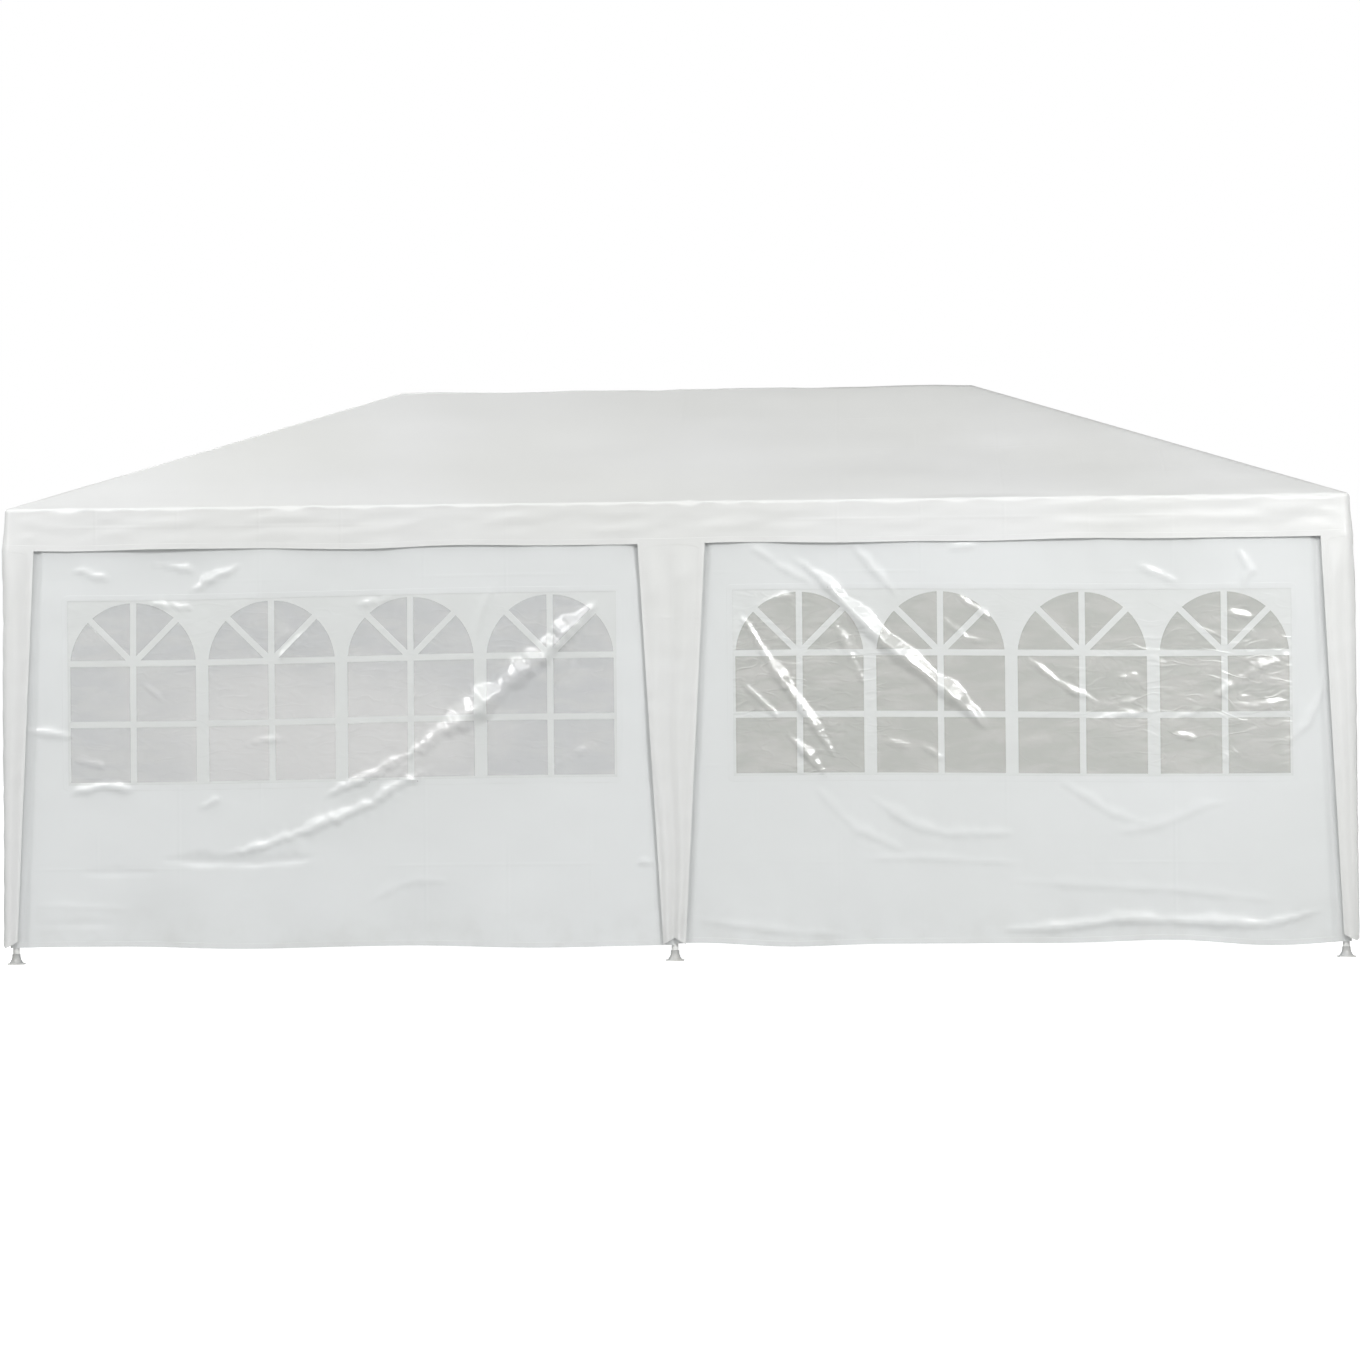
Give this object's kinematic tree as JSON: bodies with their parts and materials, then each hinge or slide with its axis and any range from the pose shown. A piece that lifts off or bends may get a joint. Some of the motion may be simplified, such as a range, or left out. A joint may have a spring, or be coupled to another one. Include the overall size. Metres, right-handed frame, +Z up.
{
  "type": "marquee tent",
  "caption": "Rectangular hip-roofed party tent of white polyethylene on a plug-together tube frame, with arched clear windows in its long walls and a doorway in each end.",
  "frame": {"origin": "on the ground, under the middle of the tent", "axes": "+X along the ridge towards the end with the open doorway, -Y out of the pictured long side, +Z up"},
  "size_m": [6.018, 3.018, 2.6959],
  "materials": {
    "polyethylene": "white woven polyethylene cloth with a slightly glossy coating, creased from packing",
    "clear_sheet": "clear plastic sheet, slightly hazy and wrinkled, with white printed window bars",
    "coated_steel": "white powder coating, satin"
  },
  "bodies": {
    "root": {"corner_connector_front_left": "coated_steel", "corner_connector_front_right": "coated_steel", "corner_connector_rear_left": "coated_steel", "corner_connector_rear_right": "coated_steel", "door_flap_left": "polyethylene", "door_roll_right": "polyethylene", "eave_tube_front_left": "coated_steel", "eave_tube_front_right": "coated_steel", "eave_tube_left_end": "coated_steel", "eave_tube_rear_left": "coated_steel", "eave_tube_rear_right": "coated_steel", "eave_tube_right_end": "coated_steel", "end_wall_left": "polyethylene", "end_wall_right": "polyethylene", "hip_rafter_front_left": "coated_steel", "hip_rafter_front_right": "coated_steel", "hip_rafter_rear_left": "coated_steel", "hip_rafter_rear_right": "coated_steel", "leg_cover_front_left": "polyethylene", "leg_cover_front_middle": "polyethylene", "leg_cover_front_right": "polyethylene", "leg_cover_rear_left": "polyethylene", "leg_cover_rear_middle": "polyethylene", "leg_cover_rear_right": "polyethylene", "leg_front_left": "coated_steel", "leg_front_middle": "coated_steel", "leg_front_right": "coated_steel", "leg_rear_left": "coated_steel", "leg_rear_middle": "coated_steel", "leg_rear_right": "coated_steel", "middle_rafter_front": "coated_steel", "middle_rafter_rear": "coated_steel", "ridge_connector_left": "coated_steel", "ridge_connector_middle": "coated_steel", "ridge_connector_right": "coated_steel", "ridge_tube_left": "coated_steel", "ridge_tube_right": "coated_steel", "roof_front_slope": "polyethylene", "roof_left_hip": "polyethylene", "roof_rear_slope": "polyethylene", "roof_right_hip": "polyethylene", "side_connector_front": "coated_steel", "side_connector_rear": "coated_steel", "side_wall_front_left": "polyethylene", "side_wall_front_right": "polyethylene", "side_wall_rear_left": "polyethylene", "side_wall_rear_right": "polyethylene", "valance_front": "polyethylene", "valance_left": "polyethylene", "valance_rear": "polyethylene", "valance_right": "polyethylene", "window_sheet_front_left": "clear_sheet", "window_sheet_front_right": "clear_sheet", "window_sheet_rear_left": "clear_sheet", "window_sheet_rear_right": "clear_sheet"}
  },
  "joints": []
}
